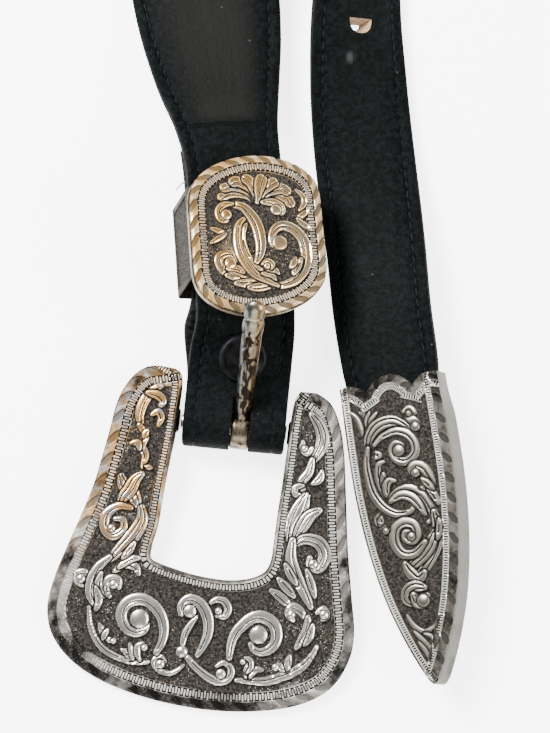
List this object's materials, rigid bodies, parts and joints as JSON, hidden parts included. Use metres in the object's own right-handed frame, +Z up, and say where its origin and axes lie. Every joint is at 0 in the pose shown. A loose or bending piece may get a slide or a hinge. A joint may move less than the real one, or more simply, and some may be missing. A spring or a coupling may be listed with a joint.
{
  "type": "western belt",
  "caption": "Padded black leather belt with a scroll-engraved horseshoe buckle, a deep loose keeper and a pointed tip, lying open with its strap in one loop.",
  "frame": {"origin": "centre of the bounding box's bottom face, on the surface that the belt lies on", "axes": "+Y from the buckle and tip towards the loop, +X to the tip's side, +Z up"},
  "size_m": [0.1462, 0.4696, 0.0383],
  "materials": {
    "leather": "matt black leather, lightly worn brown at the padded middle",
    "cast_metal": "antiqued silver plate, polished high spots and dark recesses",
    "polished_metal": "polished silver plate",
    "black_metal": "satin black enamel"
  },
  "bodies": {
    "root": {"strap": "leather", "tip": "cast_metal", "snap_cap": "black_metal", "snap_back": "black_metal"},
    "buckle": {"buckle_frame": "cast_metal", "buckle_bar": "polished_metal"},
    "prong": {"prong": "polished_metal"},
    "keeper": {"keeper": "cast_metal"}
  },
  "joints": [
    {"name": "buckle_swing", "type": "hinge", "parent": "root", "child": "buckle", "pos_m": [0.0063, -0.16477, 0.00593], "axis": [-0.993, 0.1184, 0], "range_deg": [0, 60]},
    {"name": "prong_swing", "type": "hinge", "parent": "root", "child": "prong", "pos_m": [0.0063, -0.16477, 0.00593], "axis": [0.993, -0.1184, 0], "range_deg": [0, 133]},
    {"name": "keeper_slide", "type": "slide", "parent": "root", "child": "keeper", "axis": [-0.0896, 0.996, 0], "range_m": [0, 0.01]}
  ]
}
